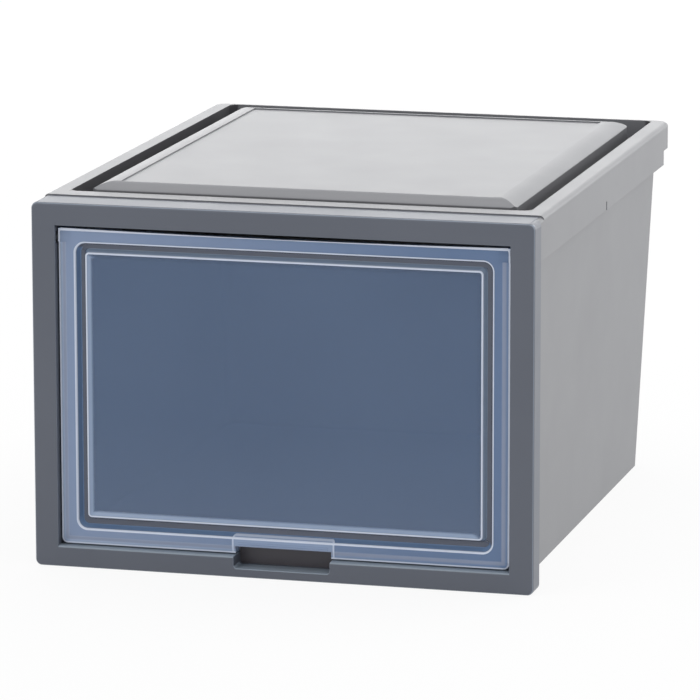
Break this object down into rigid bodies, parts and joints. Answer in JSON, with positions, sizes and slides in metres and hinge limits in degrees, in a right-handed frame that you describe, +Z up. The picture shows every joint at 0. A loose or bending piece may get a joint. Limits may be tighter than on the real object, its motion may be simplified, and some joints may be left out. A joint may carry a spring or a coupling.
{
  "type": "storage chest with sliding door",
  "caption": "Stackable plastic storage chest with a clear front door that swings up and slides back under its top, a channelled door border and a finger pull.",
  "frame": {"origin": "on the floor under the middle of the chest's footprint", "axes": "+X to the right seen from the front, +Y from the door to the back, +Z up"},
  "size_m": [0.4, 0.51, 0.2948],
  "materials": {
    "body_plastic": "fine matt, moulded",
    "frame_plastic": "satin, moulded slate grey",
    "clear_plastic": "clear blue-grey styrene",
    "strip_plastic": "matt",
    "slide_plastic": "slippery dark slate acetal"
  },
  "bodies": {
    "case": {"tub": "body_plastic", "top_deck": "body_plastic", "front_frame": "frame_plastic", "left_guide_rail": "frame_plastic", "right_guide_rail": "frame_plastic"},
    "slide_shoes": {"left_slide_shoe": "slide_plastic", "right_slide_shoe": "slide_plastic"},
    "door": {"door_panel": "clear_plastic", "door_strip": "strip_plastic", "left_pivot_pin": "slide_plastic", "right_pivot_pin": "slide_plastic"}
  },
  "joints": [
    {"name": "door_slide", "type": "slide", "parent": "case", "child": "slide_shoes", "axis": [0, 1, 0], "range_m": [0, 0.23]},
    {"name": "door_swing", "type": "hinge", "parent": "slide_shoes", "child": "door", "pos_m": [0, -0.245, 0.261], "axis": [-1, 0, 0], "range_deg": [0, 90]}
  ]
}
